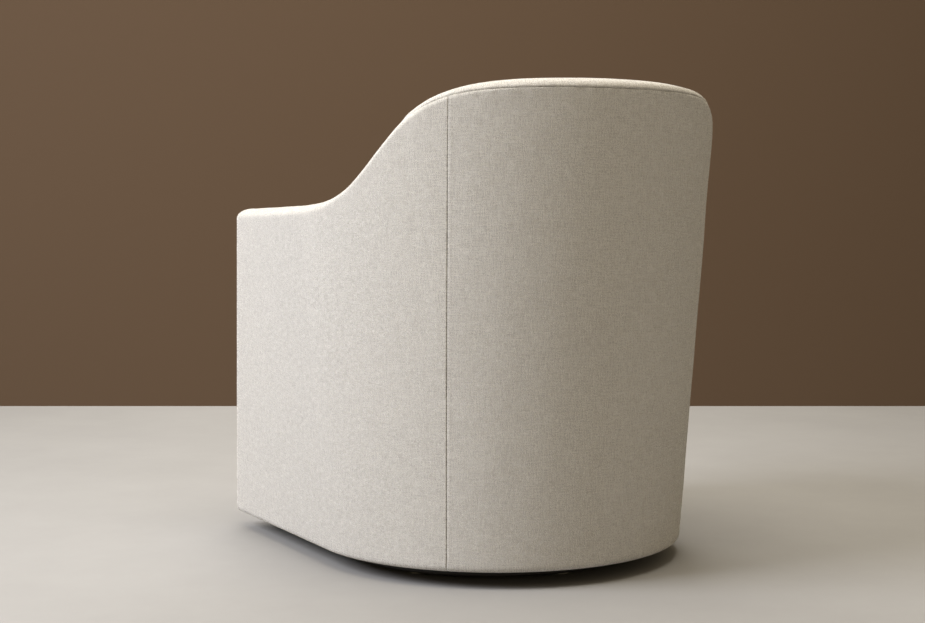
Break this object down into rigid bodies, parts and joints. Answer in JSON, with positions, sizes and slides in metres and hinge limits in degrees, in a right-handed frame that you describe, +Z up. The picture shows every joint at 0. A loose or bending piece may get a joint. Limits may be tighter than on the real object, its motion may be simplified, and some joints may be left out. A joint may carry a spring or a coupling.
{
  "type": "upholstered swivel barrel chair",
  "caption": "Fully upholstered tub chair whose high curved back swoops down into low rolled arms, with a loose boxed seat cushion, on a hidden round base with a ball-bearing swivel.",
  "frame": {"origin": "on the swivel axis, at floor level, which is the middle of the object's plan", "axes": "+Z up along the swivel axis, the sitter faces -Y, +X to the sitter's left"},
  "size_m": [0.722, 0.7839, 0.7859],
  "materials": {
    "linen": "cream linen weave over wadding, matt",
    "zip_tape": "cream zip tape",
    "foam": "upholstery foam",
    "felt": "cotton felt",
    "webbing": "elastic webbing",
    "plywood": "sanded plywood",
    "beech": "planed beech",
    "fibre_board": "fibre board",
    "steel": "zinc plated steel",
    "spring_steel": "bright spring and bearing steel",
    "nylon": "natural nylon",
    "black_board": "plywood painted satin black",
    "dust_cloth": "black cambric"
  },
  "bodies": {
    "base": {"floor_glides": "nylon", "plinth": "black_board", "plinth_bolts": "steel", "plinth_nuts": "steel", "lower_swivel_plate": "steel", "king_pin": "steel", "king_washer": "steel", "king_nut": "steel"},
    "ball_cage": {"ball_cage": "nylon", "bearing_balls": "spring_steel"},
    "seat": {"upper_swivel_plate": "steel", "pivot_bush": "nylon", "frame_bolts": "steel", "frame_nuts": "steel", "swivel_rails": "beech", "rail_screws": "steel", "bottom_ring": "plywood", "seat_ring": "plywood", "back_ribs": "plywood", "arm_ribs": "plywood", "front_posts": "beech", "crest_rail": "beech", "rear_spring_rail": "beech", "front_seat_rail": "beech", "corner_blocks": "beech", "seat_springs": "spring_steel", "spring_clips": "steel", "tie_wire": "steel", "back_webbing": "webbing", "back_board": "fibre_board", "side_board_left": "fibre_board", "side_board_right": "fibre_board", "front_board": "fibre_board", "back_foam": "foam", "arm_foam_left": "foam", "arm_foam_right": "foam", "crest_foam": "foam", "front_edge_roll": "foam", "deck_pad": "felt", "deck_cloth": "linen", "front_border": "linen", "arm_facing_left": "linen", "arm_facing_right": "linen", "inside_back_cover": "linen", "inside_arm_cover_left": "linen", "inside_arm_cover_right": "linen", "outside_back_panel": "linen", "outside_arm_panel_left": "linen", "outside_arm_panel_right": "linen", "dust_cover": "dust_cloth", "cushion_cover": "linen", "cushion_core": "foam", "cushion_zip": "zip_tape"}
  },
  "joints": [
    {"name": "seat_swivel", "type": "hinge", "parent": "base", "child": "seat", "pos_m": [0, 0, 0.044], "axis": [0, 0, 1], "continuous": true},
    {"name": "cage_turn", "type": "hinge", "parent": "base", "child": "ball_cage", "pos_m": [0, 0, 0.032], "axis": [0, 0, 1], "continuous": true}
  ],
  "couplings": [
    {"joint": "cage_turn", "follows": "seat_swivel", "ratio": 0.5}
  ]
}
